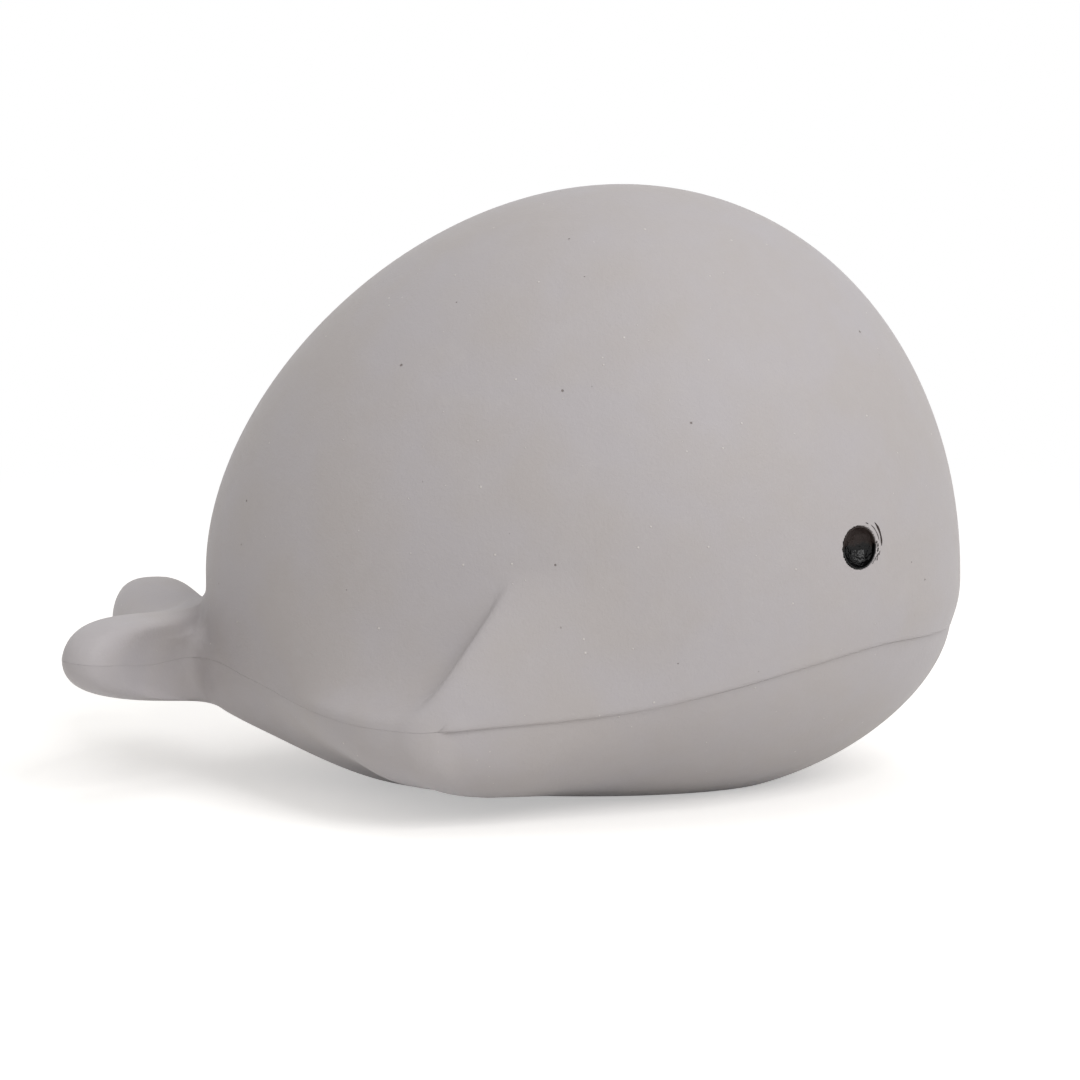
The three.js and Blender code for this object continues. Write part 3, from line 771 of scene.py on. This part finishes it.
# press both eye dimples into the upper shell, with a soft rim
def pressEyes(bm):
    for side in (1, -1):
        toEye = eyeFrame(side).inverted()
        fromEye = eyeFrame(side)
        for vert in bm.verts:
            local = toEye @ vert.co / mm
            across = math.hypot(local.x, local.y)
            if across > eye["radius"] + 1 or abs(local.z) > 1:
                continue
            if across < eye["radius"]:
                cup = -eye["depth"] * math.sqrt(1 - (across / eye["radius"]) ** 2)
            else:
                cup = (across - eye["radius"]) * 4
            local.z = softMin(local.z, cup, eye["rimRound"])
            vert.co = fromEye @ (local * mm)
    bmesh.ops.recalc_face_normals(bm, faces=bm.faces[:])


upperMesh = shellMesh(upperSection)
pressEyes(upperMesh)
upperShell = addPiece("upperShell", upperMesh, rubber, "shell", "upper_shell")
lowerShell = addPiece("lowerShell", shellMesh(lowerSection), rubber, "shell", "lower_shell")
print("shells cast:", len(upperShell.data.polygons), "and", len(lowerShell.data.polygons), "faces")


# a closed profile of radius and height pairs, mm, turned about the upright axis
def turnedMesh(pairs, steps):
    bm = bmesh.new()
    verts = [bm.verts.new((radius * mm, 0, z * mm)) for radius, z in pairs]
    edges = [bm.edges.new(pair) for pair in zip(verts, verts[1:])]
    bmesh.ops.spin(bm, geom=verts + edges, cent=(0, 0, 0), axis=(0, 0, 1), angle=2 * math.pi, steps=steps,
                   use_merge=True)
    bmesh.ops.remove_doubles(bm, verts=bm.verts[:], dist=hull["weld"] * mm)
    bmesh.ops.recalc_face_normals(bm, faces=bm.faces[:])
    return bm


def plugProfile():
    low = plug["recess"]
    top = hull["wall"]
    shoulder = low + plug["headThickness"]
    stem = plug["headRadius"] - plug["shoulder"]
    corners = [(plug["headRadius"], low), (plug["headRadius"], shoulder), (stem, shoulder), (stem, top)]
    pairs = [(radius, low + depth) for radius, depth in plug["face"]]
    path = [Vector((*pair, 0)) for pair in (pairs[-1], *corners, (0, top))]
    for before, corner, after, radius in zip(path, path[1:], path[2:], plug["edgeRound"]):
        pairs += [(point.x, point.y) for point in rounded(before, corner, after, radius)]
    return pairs + [(0, top)]


def placed(bm, x, y, z):
    bmesh.ops.translate(bm, verts=bm.verts[:], vec=Vector((x, y, z)) * mm)
    return bm


baseX = hull["baseCentre"] + toyShift.x
plugMesh = placed(turnedMesh(plugProfile(), plug["sides"]), baseX, 0, 0)
addPiece("basePlug", plugMesh, plugRubber, "shell", "base_plug")
print("plug fitted")


# enamel in the dimples, and the brush marks left outside the rim
paint = {
    "clear": 0.05,        # mm inside the rubber
    "coat": 0.16,
    "rimDrop": 0.1,       # mm, the dome falls away round the rim
    "rings": 18,
    "sides": 84,
    "smearLift": (0.004, 0.03),     # mm above the rubber, underside and top of a brush mark
    "smearCuts": 40,
    # from degrees, to degrees, from radius, to radius, width: mm, angles from the snout's side upwards
    "smears": [
        (6, 56, 3.72, 4.05, 0.3),
        (18, 62, 3.38, 3.42, 0.1),
        (68, 77, 3.3, 3.3, 0.1),
        (-8, 3, 3.02, 3.12, 0.22),
        (-20, -10, 3.1, 3.25, 0.16),
        (-33, -21, 2.94, 3.0, 0.25),
        (4, 13, 3.05, 3.1, 0.2),
        (-14, -4, 3.4, 3.46, 0.1),
        (-27, -18, 3.36, 3.3, 0.1),
        (-41, -34, 2.94, 2.95, 0.16),
        (14, 20, 2.94, 2.97, 0.16),
    ],
}


def cupPairs(radius, depth):
    angles = [math.pi / 2 * i / paint["rings"] for i in range(paint["rings"] + 1)]
    return [(radius * math.sin(a), -paint["rimDrop"] - depth * math.cos(a)) for a in angles]


def eyePaint(side):
    radius = eye["radius"] - paint["clear"]
    depth = eye["depth"] - paint["rimDrop"] - paint["clear"]
    outer = cupPairs(radius, depth)
    inner = cupPairs(radius - paint["coat"], depth - paint["coat"])
    bm = turnedMesh(outer + inner[::-1], paint["sides"])
    bmesh.ops.transform(bm, matrix=eyeFrame(side), verts=bm.verts[:])
    bmesh.ops.recalc_face_normals(bm, faces=bm.faces[:])
    return bm


# one tapered brush mark laid on the rubber round an eye
def addSmear(bm, side, rubberTree, start, end, startRadius, endRadius, width):
    fromEye = eyeFrame(side)
    down = -fromEye.to_3x3().col[2]
    cuts = paint["smearCuts"]
    rings = []
    for cut in range(cuts + 1):
        share = cut / cuts
        angle = math.radians(mix(start, end, share))
        taper = math.sqrt(max(math.sin(math.pi * share), 0))
        half = width / 2 * taper * (1 + 0.25 * math.sin(11 * share + start))
        ring = []
        for offset, lift in ((-half, 0), (-half, 1), (half, 1), (half, 0)):
            radius = mix(startRadius, endRadius, share) + offset
            above = fromEye @ (Vector((radius * math.cos(angle), -radius * math.sin(angle), 3)) * mm)
            spot, facing = rubberTree.ray_cast(above, down)[:2]
            ring.append(spot + facing * paint["smearLift"][lift] * mm)
        rings.append([bm.verts.new(point) for point in ring])
    for ring, following in zip(rings, rings[1:]):
        for i in range(4):
            bm.faces.new((ring[i], ring[i - 1], following[i - 1], following[i]))
    bm.faces.new(rings[0])
    bm.faces.new(rings[-1][::-1])


def smearedEye(side):
    bm = eyePaint(side)
    rubberTree = BVHTree.FromPolygons([vert.co for vert in upperShell.data.vertices],
                                      [face.vertices for face in upperShell.data.polygons])
    for smear in paint["smears"]:
        addSmear(bm, side, rubberTree, *smear)
    bmesh.ops.remove_doubles(bm, verts=bm.verts[:], dist=hull["weld"] / 4 * mm)
    bmesh.ops.recalc_face_normals(bm, faces=bm.faces[:])
    return bm


addPiece("leftEyePaint", eyePaint(1), enamel, "shell", "left_eye_paint", 60)
addPiece("rightEyePaint", smearedEye(-1), enamel, "shell", "right_eye_paint", 60)
print("eyes painted")


# rattle capsule, mm
capsule = {
    "radius": 16,
    "wall": 1.5,
    "lap": 1.6,
    "gap": 0.15,
    "restGap": 0.3,
    "arcs": 24,
    "sides": 84,
}


# radius and height pairs of a circle from a height up to its top on the axis
def arcAbove(radius, z):
    widest = math.acos(z / radius)
    angles = [widest * (1 - i / capsule["arcs"]) for i in range(capsule["arcs"] + 1)]
    return [(radius * math.sin(a), radius * math.cos(a)) for a in angles]


def capsuleUpper():
    gap = capsule["gap"]
    middle = capsule["radius"] - capsule["wall"] / 2 + gap / 2
    inside = arcAbove(capsule["radius"] - capsule["wall"], capsule["lap"] + gap)
    rim = [(middle, capsule["lap"] + gap), (middle, gap / 2)]
    return turnedMesh(inside[::-1] + rim + arcAbove(capsule["radius"], gap / 2), capsule["sides"])


def capsuleLower():
    gap = capsule["gap"]
    inner = capsule["radius"] - capsule["wall"]
    middle = capsule["radius"] - capsule["wall"] / 2 - gap / 2
    outside = [(r, -z) for r, z in arcAbove(capsule["radius"], gap / 2)]
    spigot = [(middle, -gap / 2), (middle, capsule["lap"]), (inner, capsule["lap"])]
    inside = [(r, -z) for r, z in arcAbove(inner, 0)]
    return turnedMesh(outside[::-1] + spigot + inside, capsule["sides"])


capsuleZ = hull["wall"] + capsule["restGap"] + capsule["radius"]
upperHalf = placed(capsuleUpper(), baseX, 0, capsuleZ)
lowerHalf = placed(capsuleLower(), baseX, 0, capsuleZ)
addPiece("capsuleUpper", upperHalf, capsuleAbs, "rattle", "capsule_upper")
addPiece("capsuleLower", lowerHalf, capsuleAbs, "rattle", "capsule_lower")


pellet = {"radius": 2.5}     # mm


# a steel pellet where its solid lies
def pelletMesh(node):
    low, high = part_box(node)
    bm = bmesh.new()
    bmesh.ops.create_icosphere(bm, subdivisions=4, radius=pellet["radius"] * mm)
    bmesh.ops.translate(bm, verts=bm.verts[:], vec=(low + high) / 2)
    return bm


for number, body in enumerate("abcdefg", 1):
    node = f"pellet_{number}"
    addPiece(f"pellet{number}", pelletMesh(node), pelletSteel, f"pellet_{body}", node)
print("rattle filled")


# floor, lamps and world: plain soft studio light on white
studio = {
    "floorRadius": 6,            # m
    "floorColour": "#F2F1EF",
    "floorLift": 0.42,           # added for the camera only, so that the floor round the toy is nearly white
    "floorFade": (0.1, 0.34),    # m from the middle, over which the floor turns plain white
    "ambient": 0.51,
    "ambientColour": "#FFFCF8",
    "lampAim": (0, 0, 0.035),    # m
    "lamps": [
        # name, place in m, size in m, watts, colour
        ("keySoftbox", (0.6, -0.68, 0.75), 0.7, 4.9, "#FFFFFF"),
        ("topSoftbox", (0.15, 0.1, 1.1), 0.9, 2.1, "#FDFDFF"),
        ("eyeSpark", (0.42, -0.8, 1.05), 0.06, 0.45, "#FFFFFF"),
    ],
}


def whiteRays(tree):
    path = addNode(tree, "ShaderNodeLightPath")
    seen = addNode(tree, "ShaderNodeMath", {"operation": "MAXIMUM"},
                   {0: path.outputs["Is Camera Ray"], 1: path.outputs["Is Glossy Ray"]})
    return addNode(tree, "ShaderNodeMath", {"operation": "MAXIMUM"},
                   {0: seen.outputs[0], 1: path.outputs["Is Transmission Ray"]}).outputs[0]


def addFloor(setup):
    bm = bmesh.new()
    bmesh.ops.create_circle(bm, cap_ends=True, segments=96, radius=setup["floorRadius"])
    mesh = bpy.data.meshes.new("studioFloor")
    bm.to_mesh(mesh)
    bm.free()
    material, tree = newMaterial("paperMatt")
    paper = addNode(tree, "ShaderNodeBsdfDiffuse", None, {"Color": linear(setup["floorColour"])})
    seen = whiteRays(tree)
    lift = addNode(tree, "ShaderNodeMath", {"operation": "MULTIPLY"}, {0: seen, 1: setup["floorLift"]})
    glow = addNode(tree, "ShaderNodeEmission", None, {"Strength": lift.outputs[0]})
    near = addNode(tree, "ShaderNodeAddShader", None, {0: paper.outputs[0], 1: glow.outputs[0]})
    place = addNode(tree, "ShaderNodeTexCoord").outputs["Object"]
    away = addNode(tree, "ShaderNodeVectorMath", {"operation": "LENGTH"}, {0: place})
    fade = addNode(tree, "ShaderNodeMapRange", {"interpolation_type": "SMOOTHSTEP"},
                   {"Value": away.outputs["Value"], "From Min": setup["floorFade"][0],
                    "From Max": setup["floorFade"][1]})
    openFloor = addNode(tree, "ShaderNodeMath", {"operation": "MULTIPLY"},
                        {0: fade.outputs["Result"], 1: seen})
    white = addNode(tree, "ShaderNodeEmission", None, {"Strength": 1.0})
    both = addNode(tree, "ShaderNodeMixShader", None,
                   {0: openFloor.outputs[0], 1: near.outputs[0], 2: white.outputs[0]})
    addNode(tree, "ShaderNodeOutputMaterial", None, {"Surface": both.outputs[0]})
    mesh.materials.append(material)
    floor = bpy.data.objects.new("studioFloor", mesh)
    scene.collection.objects.link(floor)


def addLamp(name, place, size, watts, colour):
    data = bpy.data.lights.new(name, "AREA")
    data.shape = "DISK"
    data.size = size
    data.energy = watts
    data.color = linear(colour)[:3]
    lamp = bpy.data.objects.new(name, data)
    lamp.location = place
    towards = Vector(studio["lampAim"]) - Vector(place)
    lamp.rotation_euler = towards.to_track_quat("-Z", "Y").to_euler()
    scene.collection.objects.link(lamp)


def addWorld(setup):
    world = bpy.data.worlds.new("studioWorld")
    world.use_nodes = True
    tree = world.node_tree
    tree.nodes.clear()
    white = addNode(tree, "ShaderNodeBackground", None, {"Color": (1, 1, 1, 1), "Strength": 1.0})
    ambient = addNode(tree, "ShaderNodeBackground", None,
                      {"Color": linear(setup["ambientColour"]), "Strength": setup["ambient"]})
    both = addNode(tree, "ShaderNodeMixShader", None,
                   {0: whiteRays(tree), 1: ambient.outputs[0], 2: white.outputs[0]})
    addNode(tree, "ShaderNodeOutputWorld", None, {"Surface": both.outputs[0]})
    scene.world = world


addFloor(studio)
for lampSetup in studio["lamps"]:
    addLamp(*lampSetup)
addWorld(studio)
print("studio lit")
